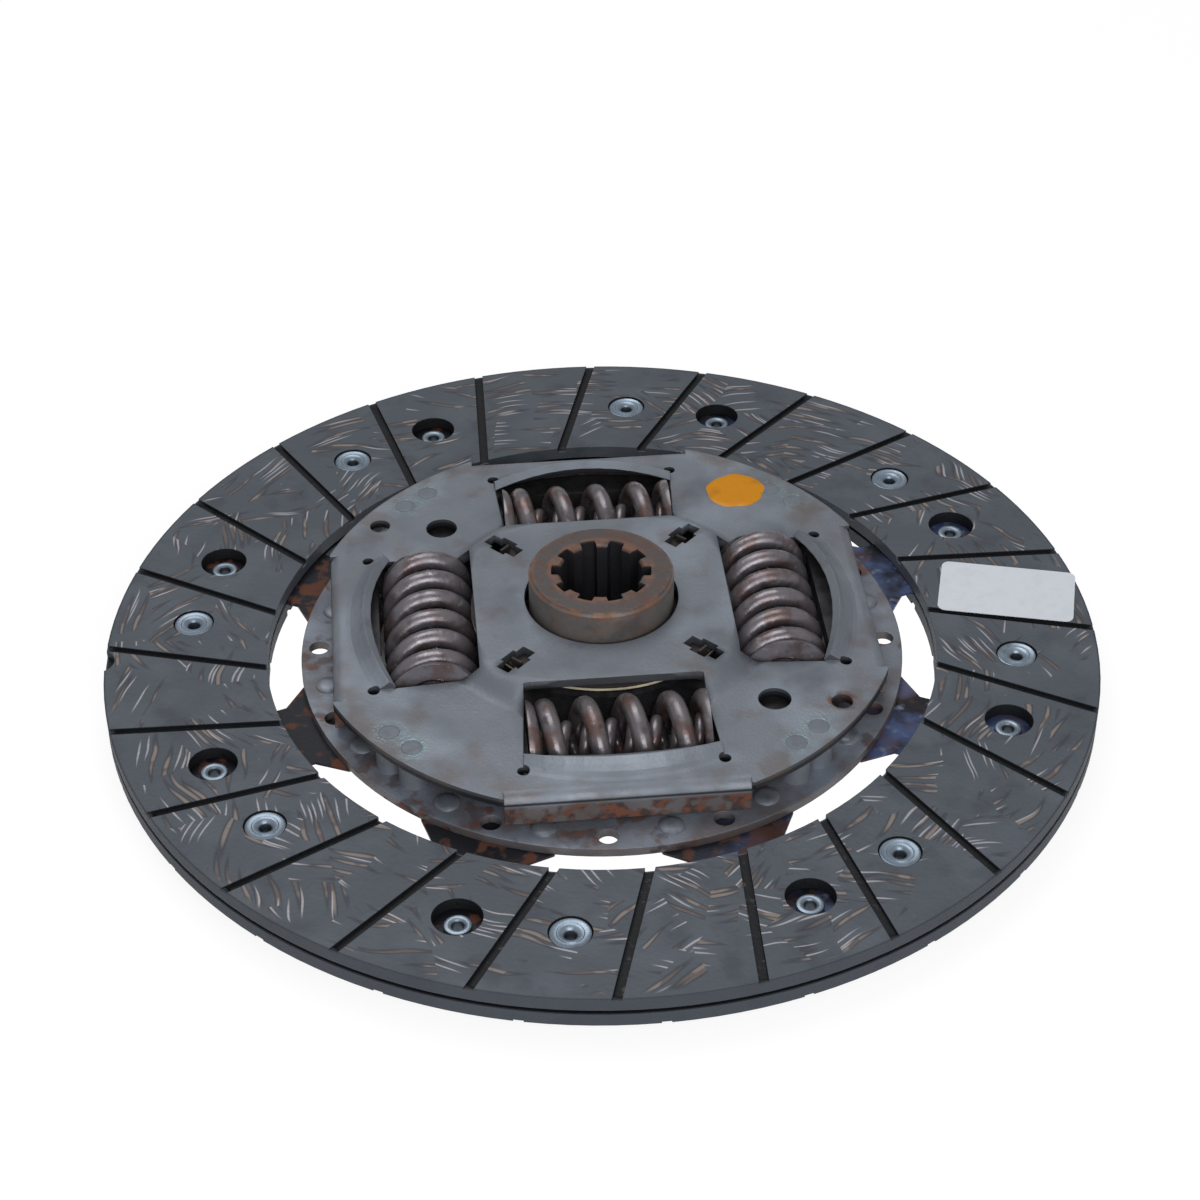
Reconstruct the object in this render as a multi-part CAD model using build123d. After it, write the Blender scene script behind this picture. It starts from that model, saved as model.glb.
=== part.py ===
from build123d import *
import os
from math import atan2, cos, degrees, hypot, radians, sin, sqrt, tan

# Sprung clutch disc for a dry single-plate clutch. Z is the shaft axis and z = 0 is the
# hub's lower end; the flywheel side is down and the cover plate is up.

# ---- friction linings
LINING_OD = 240.0
LINING_BORE_DIA = 162.1
LINING_THICK = 3.3
CUSHION_GAP = 1.2             # between the backs of the two linings, springs uncompressed
HUB_DROP = 4.4                # hub end below the lower lining's face
GROOVES = 24
GROOVE_WIDTH = 2.2
GROOVE_DEPTH = 1.2
GROOVE_OFFSET = 25.5          # each groove's line passes this far from the axis
GROOVE_TURN = 3.93            # degrees, of the first groove's foot
GROOVE_RUNOUT = 2.0           # length over which each groove's floor runs up towards the rim
GROOVE_END_DEPTH = 0.4
RIM_NOTCH_ANGLE = -176.5      # of the balance notch in the upper lining's rim
RIM_NOTCH_DEEP = 2.3          # radially
RIM_NOTCH_DIA = 8.8
RIM_NOTCH_DEPTH = 2.2         # from the working face

# ---- lining rivets: heads alternate with rolled tails round the same circle
RIVET_CIRCLE = 100.3
HEAD_ANGLE = 40.87            # heads in the upper lining
TAIL_ANGLE = 26.6             # tails under open holes of the upper lining
RIVET_PITCH = 45.0
SEAT_DIA = 9.9
SEAT_DEPTH = 1.4
TAIL_HOLE_DIA = 11.4
RIVET_HEAD_DIA = 9.2
RIVET_HEAD_THICK = 1.2
RIVET_SHANK_DIA = 4.2
RIVET_BORE_DIA = 2.8
RIVET_TAIL_DIA = 6.4
RIVET_TAIL_HIGH = 1.5
RIVET_ROUND = 0.4             # taper that stands for the rolled edges
FASTENER_SIDES = 10           # flat sides of every small fastener

# ---- cushion segments: eight waved spring-steel paddles
SEGMENTS = 8
SEGMENT_ANGLE = 23.4          # of the first neck
SEGMENT_SHEET = 0.7
SEGMENT_NECK_HALF = 16.3      # half width under the retainer's rim
SEGMENT_WAIST_HALF = 10.6     # half width at the linings' bore
SEGMENT_MARGIN = 3.0          # of a paddle from both edges of the linings
PADDLE_FROM = -9.0            # degrees from the neck's middle
PADDLE_TO = 31.0
CREASE_ANGLE = 10.4
CREASE_HALF = 3.0

# ---- segment rivets
SEGMENT_RIVET_R = 67.2
SEGMENT_RIVET_ANGLE = 10.2    # either side of the neck's middle
SEGMENT_RIVET_HEAD_DIA = 6.0
SEGMENT_RIVET_HEAD_HIGH = 0.9
SEGMENT_RIVET_SHANK_DIA = 3.6

# ---- damper springs: coils with ground ends, the first turn and the last half turn closed up
SPRING_R = 41.5               # pitch radius
SPRING_DIA = 22.6
SPRING_WIRE = 4.6
SIDE_SPRING_LENGTH = 45.4
SIDE_SPRING_OPEN_TURNS = 5.0
FRONT_SPRING_LENGTH = 41.8
FRONT_SPRING_OPEN_TURNS = 3.5
CLOSED_PITCH = 4.8
COIL_STEPS = 12               # straight lengths of wire to a turn
WIRE_SIDES = 6
INNER_SPRING_DIA = 11.8
INNER_SPRING_WIRE = 3.0
INNER_SPRING_SHORTER = 0.4    # than the outer spring round it
INNER_SPRING_SIDES = 12
SPRING_END_GAP = 0.1          # at each end, in both plates and flange

# ---- pressed plates
SHEET = 2.2
PLATE_TURN = 5.0              # of both plates and all that lines up with their windows
PLATE_GAP_HALF = 4.0          # spring axis to the inner face of each rim
PLATEAU_RISE = 4.45           # raised middle above the rim
PLATEAU_R = 36.6
RAMP_R = 42.0
RAMP_EASE = 1.2               # width of the softer bend at each end of the ramp
RAMP_EASE_HIGH = 0.7
HUB_HOLE_R = 18.5
COVER_R = 71.0
RETAINER_R = 72.9
WINDOW_IN = 30.6              # distance of the straight inner edge from the axis
SIDE_FLARE = 4.8              # degrees
FRONT_FLARE = 4.0
STRESS_HOLE_DIA = 2.8
STRESS_HOLE_IN = 1.6          # from the lip's foot to the hole's middle
LIP_FOOT_R = 61.6
LIP_EDGE_R = 57.3
LIP_RISE = 3.8                # at the window's middle
LIP_END_RISE = 1.5            # at its corners
LIP_STEPS = 12                # straight lengths round one lip
LIP_CURVE_STEPS = 4           # and up its curl
LIP_KEY = 1.0                 # how far the lip's root runs into the sheet
TAB_FACE = 65.0               # outer face of each bent tab from the axis
TAB_HALF = 27.8
TAB_BEND_R = 2.7
TAB_ROOT = 1.0                # how far the tab's root runs into the sheet
TAB_CLEARANCE = 1.3           # above the segment rivets' heads
GAUGE_HOLE_DIA = 7.7
GAUGE_CIRCLE_R = 52.15
GAUGE_HOLE_ANGLE = 135.0
PILOT_HOLE_DIA = 5.0
PILOT_CIRCLE_R = 65.4
PILOT_HOLE_ANGLE = 143.0
RIM_HOLE_DIA = 4.8
RIM_CIRCLE_R = 68.7
KEY_SLOT_R = 31.25            # cross slots for the tabbed washer
KEY_SLOT_LONG = 9.6
KEY_SLOT_WIDE = 5.4
KEY_SLOT_NECK = 3.6
KEY_SLOT_EAR = 4.4

# ---- spacer pins, in four pairs
SPACER_CIRCLE_R = 65.8
SPACER_PAIR_ANGLE = 40.5      # from a window's middle
SPACER_PAIR_HALF = 3.35
SPACER_END_DIA = 4.8
SPACER_BODY_DIA = 6.8
SPACER_END_RISE = 0.2

# ---- hub and its flange
HUB_R = 17.4
HUB_LENGTH = 32.9
HUB_CHAMFER = 0.8
COLLAR_R = 20.5
SHOULDER_R = 22.5
SHOULDER_HIGH = 1.5
SPLINES = 10
SPLINE_MINOR_R = 9.8
SPLINE_MAJOR_R = 12.0
SPLINE_SLOT = 3.7
SPLINE_TURN = -1.5
BORE_CHAMFER = 0.6
FLANGE_THICK = 4.6
FLANGE_R = 61.6
FLANGE_WINDOW_IN = 30.0
FLANGE_WINDOW_OUT = 53.6

# ---- friction parts between plates and flange
BUSH_FIT = 0.05               # running fit of the bush on the hub
BUSH_COLLAR_R = 21.5
BUSH_COLLAR_HIGH = 1.4
WASHER_OUT_R = 29.8
WASHER_IN_R = 23.0
WASHER_THICK = 1.95
CONE_SHEET = 1.4
RING_OUT_R = 31.4
RING_IN_R = 20.5
RING_THICK = 0.65
KEY_WASHER_THICK = 0.65
KEY_TAB_R = 31.2
KEY_TAB_WIDE = 3.0
KEY_TAB_HIGH = 1.9

# ---- clearances
PRESS_GAP = 0.03              # flange on the hub's collar
RIVET_GAP = 0.05              # round every rivet and pin, on the radius
SLIDE_GAP = 0.05              # between faces that rub
CUT = 1.0                     # how far a cutter runs past what it cuts

# ---- levels and radii that follow
FLIP_ANGLE = (HEAD_ANGLE + TAIL_ANGLE) / 2       # the lower lining is the upper one turned over about this line
MID_Z = HUB_DROP + LINING_THICK + CUSHION_GAP / 2
RIM_BOTTOM = MID_Z - CUSHION_GAP / 2 + SEGMENT_SHEET      # the segments' roots lie under this face
RIM_TOP = RIM_BOTTOM + SHEET
SPRING_Z = RIM_TOP + PLATE_GAP_HALF
COVER_TOP = SPRING_Z + PLATE_GAP_HALF + SHEET
PLATFORM_IN = PLATE_GAP_HALF + PLATEAU_RISE      # inner face of a raised middle, from SPRING_Z
FLANGE_BOTTOM = SPRING_Z - FLANGE_THICK / 2
FLANGE_TOP = SPRING_Z + FLANGE_THICK / 2
TAB_END = RIM_TOP + SEGMENT_RIVET_HEAD_HIGH + TAB_CLEARANCE
SEGMENT_ROOT_R = LIP_FOOT_R + LIP_KEY
PADDLE_IN_R = LINING_BORE_DIA / 2 + SEGMENT_MARGIN
PADDLE_OUT_R = LINING_OD / 2 - SEGMENT_MARGIN
SPRING_LENGTHS = (SIDE_SPRING_LENGTH, FRONT_SPRING_LENGTH) * 2   # at 0, 90, 180 and 270 degrees
SPRING_OPEN_TURNS = (SIDE_SPRING_OPEN_TURNS, FRONT_SPRING_OPEN_TURNS) * 2
SPRING_STARTS = (-1, 1, 1, -1)                   # end of each spring that its first turn lies at
SPRING_FLARES = (SIDE_FLARE, FRONT_FLARE) * 2
NECK_ANGLES = [SEGMENT_ANGLE + k * 360 / SEGMENTS for k in range(SEGMENTS)]
BASE = (Align.CENTER, Align.CENTER, Align.MIN)


# ---- helpers
def ring(r_out, r_in, low, high):
    """Flat ring between two levels."""
    return Pos(0, 0, low) * (Cylinder(r_out, high - low, align=BASE) - Cylinder(r_in, high - low, align=BASE))


def upright(points, angle=0.0):
    """Face of an (r, z) outline, standing on the axis at an angle."""
    return Rot(0, 0, angle) * (Plane.XZ * make_face(Polyline(*points, close=True)))


def turned(points, start=0.0, arc=360.0):
    """Solid of revolution of an (r, z) outline about Z."""
    return Rot(0, 0, start) * revolve(upright(points), Axis.Z, arc)


def bent_sheet(points):
    """Outline of a bent sheet from the (r, z) points of its upper side, its lower side one thickness below."""
    headings = [atan2(z1 - z0, r1 - r0) for (r0, z0), (r1, z1) in zip(points, points[1:])]
    side = 1 if points[-1][0] > points[0][0] else -1
    below = []
    for (r, z), before, after in zip(points, headings[:1] + headings, headings + headings[-1:]):
        lean, half = (before + after) / 2, (after - before) / 2
        reach = side * SHEET / cos(half)
        below.append((r + reach * sin(lean), z - reach * cos(lean)))
    return points + below[::-1]


def polar(radius, angle):
    """Location at a radius and an angle in degrees, turned to face outwards."""
    return Rot(0, 0, angle) * Pos(radius, 0, 0)


def drill(dia, low, high):
    """Round cutter between two levels."""
    return Pos(0, 0, low) * Cylinder(dia / 2, high - low, align=BASE)


def faceted(levels):
    """Small fastener in flat-sided steps: a frustum between each two consecutive (radius, z) levels."""
    flat = cos(radians(180 / FASTENER_SIDES))
    steps = []
    for (r0, z0), (r1, z1) in zip(levels, levels[1:]):
        if z1 > z0:
            taper = degrees(atan2((r0 - r1) * flat, z1 - z0))
            steps.append(Pos(0, 0, z0) * extrude(RegularPolygon(r0, FASTENER_SIDES), z1 - z0, taper=taper))
    return Part() + steps


def rivet_hole(dia, low, high):
    """Cutter that fits a faceted shank of the given size, with the rivet gap all round."""
    radius = dia / 2 + RIVET_GAP
    return faceted([(radius, low), (radius, high)])


# ---- linings
def lining():
    """Grooved ring, back at z = 0 and working face up, with seats and tail holes."""
    body = ring(LINING_OD / 2, LINING_BORE_DIA / 2, 0, LINING_THICK)
    start = sqrt((LINING_BORE_DIA / 2) ** 2 - GROOVE_OFFSET ** 2) - GROOVE_WIDTH
    end = sqrt((LINING_OD / 2) ** 2 - GROOVE_OFFSET ** 2)
    floor, shallow = LINING_THICK - GROOVE_DEPTH, LINING_THICK - GROOVE_END_DEPTH
    groove = extrude(Plane.YZ * make_face(Polyline(
        (-start, floor), (GROOVE_RUNOUT - end, floor), (GROOVE_RUNOUT / 2 - end, shallow), (-end - CUT, shallow),
        (-end - CUT, LINING_THICK + CUT), (-start, LINING_THICK + CUT), close=True)), GROOVE_WIDTH / 2, both=True)
    cuts = [Rot(0, 0, GROOVE_TURN + k * 360 / GROOVES) * Pos(GROOVE_OFFSET, 0, 0) * groove for k in range(GROOVES)]
    for k in range(SEGMENTS):
        head = polar(RIVET_CIRCLE, HEAD_ANGLE + k * RIVET_PITCH)
        tail = polar(RIVET_CIRCLE, TAIL_ANGLE + k * RIVET_PITCH)
        cuts.append(head * drill(SEAT_DIA, LINING_THICK - SEAT_DEPTH, LINING_THICK + CUT))
        cuts.append(head * rivet_hole(RIVET_SHANK_DIA, -CUT, LINING_THICK))
        cuts.append(tail * drill(TAIL_HOLE_DIA, -CUT, LINING_THICK + CUT))
    return body - cuts


def rim_notch():
    """Cutter for the round notch in the upper lining's rim."""
    out = LINING_OD / 2 - RIM_NOTCH_DEEP + RIM_NOTCH_DIA / 2
    return polar(out, RIM_NOTCH_ANGLE) * drill(RIM_NOTCH_DIA, LINING_THICK - RIM_NOTCH_DEPTH, LINING_THICK + CUT)


def lining_rivet():
    """Tubular rivet on the lining's local levels: dished head in its seat, tail rolled over."""
    seat = LINING_THICK - SEAT_DEPTH
    bore, shank = RIVET_BORE_DIA / 2, RIVET_SHANK_DIA / 2
    head, tail = RIVET_HEAD_DIA / 2, RIVET_TAIL_DIA / 2
    pad = -SEGMENT_SHEET
    body = faceted([
        (tail - RIVET_ROUND, pad - RIVET_TAIL_HIGH), (tail, pad), (shank, pad), (shank, seat),
        (head - RIVET_ROUND, seat), (head, seat + RIVET_HEAD_THICK)])
    dish = faceted([(bore, seat + RIVET_ROUND), (head - 2 * RIVET_ROUND, seat + RIVET_HEAD_THICK + RIVET_GAP)])
    return body - dish - rivet_hole(RIVET_BORE_DIA - 2 * RIVET_GAP, pad - 2 * RIVET_TAIL_HIGH, LINING_THICK)


def lining_rivets():
    """One lining's eight rivets on its local levels."""
    rivet = lining_rivet()
    return Compound([polar(RIVET_CIRCLE, HEAD_ANGLE + k * RIVET_PITCH) * rivet for k in range(SEGMENTS)])


def as_upper(shape):
    """Place a shape on the lining's local levels as the upper lining."""
    return Pos(0, 0, MID_Z + CUSHION_GAP / 2) * shape


def as_lower(shape):
    """Turn the upper lining's shape over in its plane, as the lower lining."""
    return Pos(0, 0, MID_Z - CUSHION_GAP / 2) * Rot(0, 0, FLIP_ANGLE) * Rot(180, 0, 0) * Rot(0, 0, -FLIP_ANGLE) * shape


# ---- cushion segments
def cushion_segment(angle):
    """Spring-steel paddle: root under the retainer, tapered neck, and two pads either side of a crease."""
    low, step = -CUSHION_GAP / 2, CUSHION_GAP - SEGMENT_SHEET
    root_x = sqrt(RETAINER_R ** 2 - SEGMENT_NECK_HALF ** 2)
    waist_x = sqrt((LINING_BORE_DIA / 2) ** 2 - SEGMENT_WAIST_HALF ** 2) - SEGMENT_MARGIN
    paddle_x = PADDLE_IN_R + SEGMENT_MARGIN
    neck = make_face(Polyline(
        (0, SEGMENT_NECK_HALF), (root_x, SEGMENT_NECK_HALF), (waist_x, SEGMENT_WAIST_HALF),
        (paddle_x, SEGMENT_WAIST_HALF), (paddle_x, -SEGMENT_WAIST_HALF), (waist_x, -SEGMENT_WAIST_HALF),
        (root_x, -SEGMENT_NECK_HALF), (0, -SEGMENT_NECK_HALF), close=True))
    neck = Pos(0, 0, low) * extrude(neck - Circle(SEGMENT_ROOT_R), SEGMENT_SHEET)
    paddle = turned([(PADDLE_IN_R, -LINING_THICK), (PADDLE_OUT_R, -LINING_THICK), (PADDLE_OUT_R, LINING_THICK),
                     (PADDLE_IN_R, LINING_THICK)], start=PADDLE_FROM, arc=PADDLE_TO - PADDLE_FROM)
    side = LINING_OD / 2
    wave = Plane.YZ * make_face(Polyline(
        (-side, low), (-CREASE_HALF, low), (CREASE_HALF, low + step), (side, low + step),
        (side, low + step + SEGMENT_SHEET), (CREASE_HALF, low + step + SEGMENT_SHEET),
        (-CREASE_HALF, low + SEGMENT_SHEET), (-side, low + SEGMENT_SHEET), close=True))
    pads = Rot(0, 0, CREASE_ANGLE) * extrude(wave, LINING_OD / 2)
    cuts = [polar(RIVET_CIRCLE, at - SEGMENT_ANGLE) * rivet_hole(RIVET_SHANK_DIA, -LINING_THICK, LINING_THICK)
            for at in (TAIL_ANGLE, HEAD_ANGLE)]
    cuts += [polar(SEGMENT_RIVET_R, side * SEGMENT_RIVET_ANGLE)
             * rivet_hole(SEGMENT_RIVET_SHANK_DIA, -LINING_THICK, LINING_THICK) for side in (-1, 1)]
    return Pos(0, 0, MID_Z) * Rot(0, 0, angle) * (neck + (pads & paddle) - cuts)


def segment_rivets():
    """Domed rivets that hold each segment's root under the retainer's rim, two to a segment."""
    head, high = SEGMENT_RIVET_HEAD_DIA / 2, SEGMENT_RIVET_HEAD_HIGH
    shank = SEGMENT_RIVET_SHANK_DIA / 2
    top, bottom = RIM_TOP, RIM_BOTTOM - SEGMENT_SHEET
    rivet = faceted([
        (head - high, bottom - high), (head, bottom), (shank, bottom), (shank, top), (head, top),
        (head - high, top + high)])
    return Compound([polar(SEGMENT_RIVET_R, angle + side * SEGMENT_RIVET_ANGLE) * rivet
                     for angle in NECK_ANGLES for side in (-1, 1)])


# ---- pressed plates
def window_half(length, flare, out):
    """Half width of a spring window at a distance from the axis along its middle."""
    return length / 2 + SPRING_END_GAP + (out - WINDOW_IN) * tan(radians(flare))


def window_wedge(length, flare, r_out):
    """Prism of one spring window along +X, out to a radius."""
    near, far = window_half(length, flare, WINDOW_IN), window_half(length, flare, r_out)
    wedge = make_face(Polyline((WINDOW_IN, -near), (r_out, -far), (r_out, far), (WINDOW_IN, near), close=True))
    return extrude(wedge & Circle(r_out), COVER_TOP, both=True)


def stress_holes(length, flare):
    """Round holes at the outer corners of one spring window, where its lip ends."""
    out = sqrt((LIP_FOOT_R - STRESS_HOLE_IN) ** 2 - (length / 2) ** 2)
    across = window_half(length, flare, out)
    return [Pos(out, side * across, 0) * Cylinder(STRESS_HOLE_DIA / 2, 2 * COVER_TOP) for side in (-1, 1)]


def spring_lip(length, flare):
    """Lip that curls up along the outside of one window, highest at its middle."""
    reach = degrees(atan2(window_half(length, flare, LIP_EDGE_R), LIP_EDGE_R - length / 4)) + LIP_KEY
    sections = []
    for n in range(LIP_STEPS + 1):
        share = 2 * n / LIP_STEPS - 1
        rise = LIP_RISE - (LIP_RISE - LIP_END_RISE) * share ** 2
        curl = [(LIP_FOOT_R - (LIP_FOOT_R - LIP_EDGE_R) * t / LIP_CURVE_STEPS, rise * (t / LIP_CURVE_STEPS) ** 2)
                for t in range(LIP_CURVE_STEPS + 1)]
        sections.append(upright(bent_sheet([(LIP_FOOT_R + LIP_KEY, 0)] + curl), share * reach))
    return loft(sections, ruled=True) & window_wedge(length, flare, LIP_FOOT_R + LIP_KEY)


def bent_tab(low):
    """Tab bent down from the plate's edge along +X, to level low."""
    start, inner = TAB_FACE - TAB_BEND_R, TAB_BEND_R - SHEET
    root = start - TAB_ROOT
    lines = [
        Line((root, 0), (start, 0)),
        RadiusArc((start, 0), (TAB_FACE, -TAB_BEND_R), TAB_BEND_R),
        Line((TAB_FACE, -TAB_BEND_R), (TAB_FACE, low)),
        Line((TAB_FACE, low), (TAB_FACE - SHEET, low)),
        Line((TAB_FACE - SHEET, low), (TAB_FACE - SHEET, -TAB_BEND_R)),
        RadiusArc((TAB_FACE - SHEET, -TAB_BEND_R), (start, -SHEET), -inner),
        Line((start, -SHEET), (root, -SHEET)),
        Line((root, -SHEET), (root, 0))]
    return extrude(Plane.XZ * make_face(lines), TAB_HALF, both=True)


def pressed_plate(rim_r, tabs):
    """Dished plate with four lipped windows; the rim's outer face is z = 0 and the middle is raised."""
    body = turned(bent_sheet([
        (HUB_HOLE_R, PLATEAU_RISE), (PLATEAU_R, PLATEAU_RISE), (PLATEAU_R + RAMP_EASE, PLATEAU_RISE - RAMP_EASE_HIGH),
        (RAMP_R - RAMP_EASE, RAMP_EASE_HIGH), (RAMP_R, 0), (rim_r, 0)]))
    for k, (length, flare) in enumerate(zip(SPRING_LENGTHS, SPRING_FLARES)):
        turn = Rot(0, 0, 90 * k)
        body -= turn * window_wedge(length, flare, LIP_FOOT_R)
        body += turn * spring_lip(length, flare)
        cuts = [turn * hole for hole in stress_holes(length, flare)]
        cuts += [turn * polar(SPACER_CIRCLE_R, SPACER_PAIR_ANGLE + side * SPACER_PAIR_HALF)
                 * rivet_hole(SPACER_END_DIA, -SHEET - CUT, CUT) for side in (-1, 1)]
        if tabs:
            depth = rim_r - TAB_FACE + CUT
            bend = TAB_BEND_R + depth
            cuts.append(turn * Pos(TAB_FACE + depth / 2, 0, 0) * Box(depth, 2 * rim_r, 2 * SHEET + CUT))
            cuts.append(turn * Pos(TAB_FACE - TAB_BEND_R + bend / 2, 0, 0) * Box(bend, 2 * TAB_HALF, 2 * SHEET + CUT))
        body -= cuts
        if tabs:
            body += turn * bent_tab(TAB_END - COVER_TOP)
    return body


def cover_plate():
    """Upper plate, with the tabs, the gauge and pilot holes and the slots for the tabbed washer."""
    body = pressed_plate(COVER_R, tabs=True)
    low = -SHEET - CUT
    cuts = []
    for turn in (0, 180):
        cuts.append(polar(GAUGE_CIRCLE_R, GAUGE_HOLE_ANGLE + turn) * drill(GAUGE_HOLE_DIA, low, CUT))
        cuts.append(polar(PILOT_CIRCLE_R, PILOT_HOLE_ANGLE + turn) * drill(PILOT_HOLE_DIA, low, CUT))
    slot = Rectangle(KEY_SLOT_LONG, KEY_SLOT_NECK) + Rectangle(KEY_SLOT_EAR, KEY_SLOT_WIDE)
    slot = Pos(0, 0, PLATEAU_RISE + CUT) * extrude(slot, -SHEET - 2 * CUT)
    cuts += [polar(KEY_SLOT_R, 45 + 90 * k) * slot for k in range(4)]
    return Pos(0, 0, COVER_TOP) * Rot(0, 0, PLATE_TURN) * (body - cuts)


def retainer_plate():
    """Lower plate, the cover's mirror image with a full round rim that carries the segments."""
    body = mirror(pressed_plate(RETAINER_R, tabs=False), Plane.XY)
    body = Pos(0, 0, RIM_BOTTOM) * Rot(0, 0, PLATE_TURN) * body
    low, high = RIM_BOTTOM - CUT, RIM_TOP + CUT
    cuts = []
    for k, angle in enumerate(NECK_ANGLES):
        cuts += [polar(SEGMENT_RIVET_R, angle + side * SEGMENT_RIVET_ANGLE)
                 * rivet_hole(SEGMENT_RIVET_SHANK_DIA, low, high) for side in (-1, 1)]
        cuts.append(polar(RIM_CIRCLE_R, angle) * drill(RIM_HOLE_DIA, low, high))
        if k % 2 == 0:
            cuts.append(polar(RIM_CIRCLE_R, angle - 180 / SEGMENTS) * drill(RIM_HOLE_DIA, low, high))
    return body - cuts


def spacer_pins():
    """Shouldered pins in four pairs that rivet the two plates together."""
    end, shank = SPACER_END_DIA / 2, SPACER_BODY_DIA / 2
    low, high = RIM_BOTTOM - SPACER_END_RISE, COVER_TOP + SPACER_END_RISE
    inner_low, inner_high = RIM_TOP, COVER_TOP - SHEET
    pin = faceted([(end, low), (end, inner_low), (shank, inner_low), (shank, inner_high), (end, inner_high),
                   (end, high)])
    return Compound([polar(SPACER_CIRCLE_R, PLATE_TURN + 90 * k + SPACER_PAIR_ANGLE + side * SPACER_PAIR_HALF) * pin
                     for k in range(4) for side in (-1, 1)])


# ---- hub
def hub():
    """Splined hub with a shoulder and a collar for the flange."""
    body = turned([
        (0, 0), (HUB_R - HUB_CHAMFER, 0), (HUB_R, HUB_CHAMFER), (HUB_R, FLANGE_BOTTOM - SHOULDER_HIGH),
        (SHOULDER_R, FLANGE_BOTTOM - SHOULDER_HIGH), (SHOULDER_R, FLANGE_BOTTOM), (COLLAR_R, FLANGE_BOTTOM),
        (COLLAR_R, FLANGE_TOP), (HUB_R, FLANGE_TOP), (HUB_R, HUB_LENGTH - HUB_CHAMFER),
        (HUB_R - HUB_CHAMFER, HUB_LENGTH), (0, HUB_LENGTH)])
    mouth = SPLINE_MINOR_R + BORE_CHAMFER
    bore = turned([
        (0, -CUT), (mouth + CUT, -CUT), (mouth, 0), (SPLINE_MINOR_R, BORE_CHAMFER),
        (SPLINE_MINOR_R, HUB_LENGTH - BORE_CHAMFER), (mouth, HUB_LENGTH), (mouth + CUT, HUB_LENGTH + CUT),
        (0, HUB_LENGTH + CUT)])
    slot = Pos(0, 0, HUB_LENGTH / 2) * Box(SPLINE_MAJOR_R, SPLINE_SLOT, HUB_LENGTH + 2 * CUT,
                                           align=(Align.MIN, Align.CENTER, Align.CENTER))
    limit = Pos(0, 0, -CUT) * Cylinder(SPLINE_MAJOR_R, HUB_LENGTH + 2 * CUT, align=BASE)
    slots = [Rot(0, 0, SPLINE_TURN + k * 360 / SPLINES) * slot & limit for k in range(SPLINES)]
    return body - bore - slots


def hub_flange():
    """Flat flange on the hub's collar, with four windows that the springs push against."""
    body = ring(FLANGE_R, COLLAR_R + PRESS_GAP, FLANGE_BOTTOM, FLANGE_TOP)
    wide = FLANGE_WINDOW_OUT - FLANGE_WINDOW_IN
    cuts = [Rot(0, 0, PLATE_TURN + 90 * k)
            * Pos((FLANGE_WINDOW_IN + FLANGE_WINDOW_OUT) / 2, 0, SPRING_Z)
            * Box(wide, length + 2 * SPRING_END_GAP, 2 * FLANGE_THICK)
            for k, length in enumerate(SPRING_LENGTHS)]
    return body - cuts


# ---- friction parts
def centring_bush():
    """Collared bush in the retainer's hole; the hub turns in it."""
    inner = SPRING_Z - PLATFORM_IN
    bore = HUB_R + BUSH_FIT
    return turned([
        (bore, inner - SHEET), (HUB_HOLE_R, inner - SHEET), (HUB_HOLE_R, inner), (BUSH_COLLAR_R, inner),
        (BUSH_COLLAR_R, inner + BUSH_COLLAR_HIGH), (bore, inner + BUSH_COLLAR_HIGH)])


def friction_washer():
    """Flat washer that rubs on the flange's lower face."""
    top = FLANGE_BOTTOM - SLIDE_GAP
    return ring(WASHER_OUT_R, WASHER_IN_R, top - WASHER_THICK, top)


def coned_spring(outer_level, inner_level):
    """Coned spring washer whose outer edge is at one level and inner edge at another."""
    rise = CONE_SHEET if inner_level > outer_level else -CONE_SHEET
    return turned([
        (WASHER_OUT_R, outer_level), (WASHER_OUT_R, outer_level + rise), (WASHER_IN_R, inner_level),
        (WASHER_IN_R, inner_level - rise)])


def lower_coned_spring():
    """Between the retainer's raised middle and the friction washer."""
    return coned_spring(FLANGE_BOTTOM - SLIDE_GAP - WASHER_THICK, SPRING_Z - PLATFORM_IN)


def upper_coned_spring():
    """Between the flange and the friction ring."""
    return coned_spring(FLANGE_TOP + SLIDE_GAP, SPRING_Z + PLATFORM_IN - KEY_WASHER_THICK - RING_THICK)


def friction_ring():
    """Plastic ring under the tabbed washer; its edge shows in the front window."""
    top = SPRING_Z + PLATFORM_IN - KEY_WASHER_THICK
    return ring(RING_OUT_R, RING_IN_R, top - RING_THICK, top)


def tabbed_washer():
    """Thin washer whose four tabs stand up through the cover's cross slots and stop it turning."""
    top = SPRING_Z + PLATFORM_IN
    body = ring(RING_OUT_R, RING_IN_R, top - KEY_WASHER_THICK, top)
    tab = Pos(KEY_TAB_R - KEY_WASHER_THICK, 0, top - KEY_WASHER_THICK) * Box(
        KEY_WASHER_THICK, KEY_TAB_WIDE, KEY_WASHER_THICK + KEY_TAB_HIGH, align=(Align.MIN, Align.CENTER, Align.MIN))
    return body + [Rot(0, 0, PLATE_TURN + 45 + 90 * k) * tab for k in range(4)]


# ---- springs
def spring_place(shape, angle):
    """Put a spring that was built along Y square to its radius at an angle."""
    return Rot(0, 0, angle) * Pos(SPRING_R, 0, SPRING_Z) * shape


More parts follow.
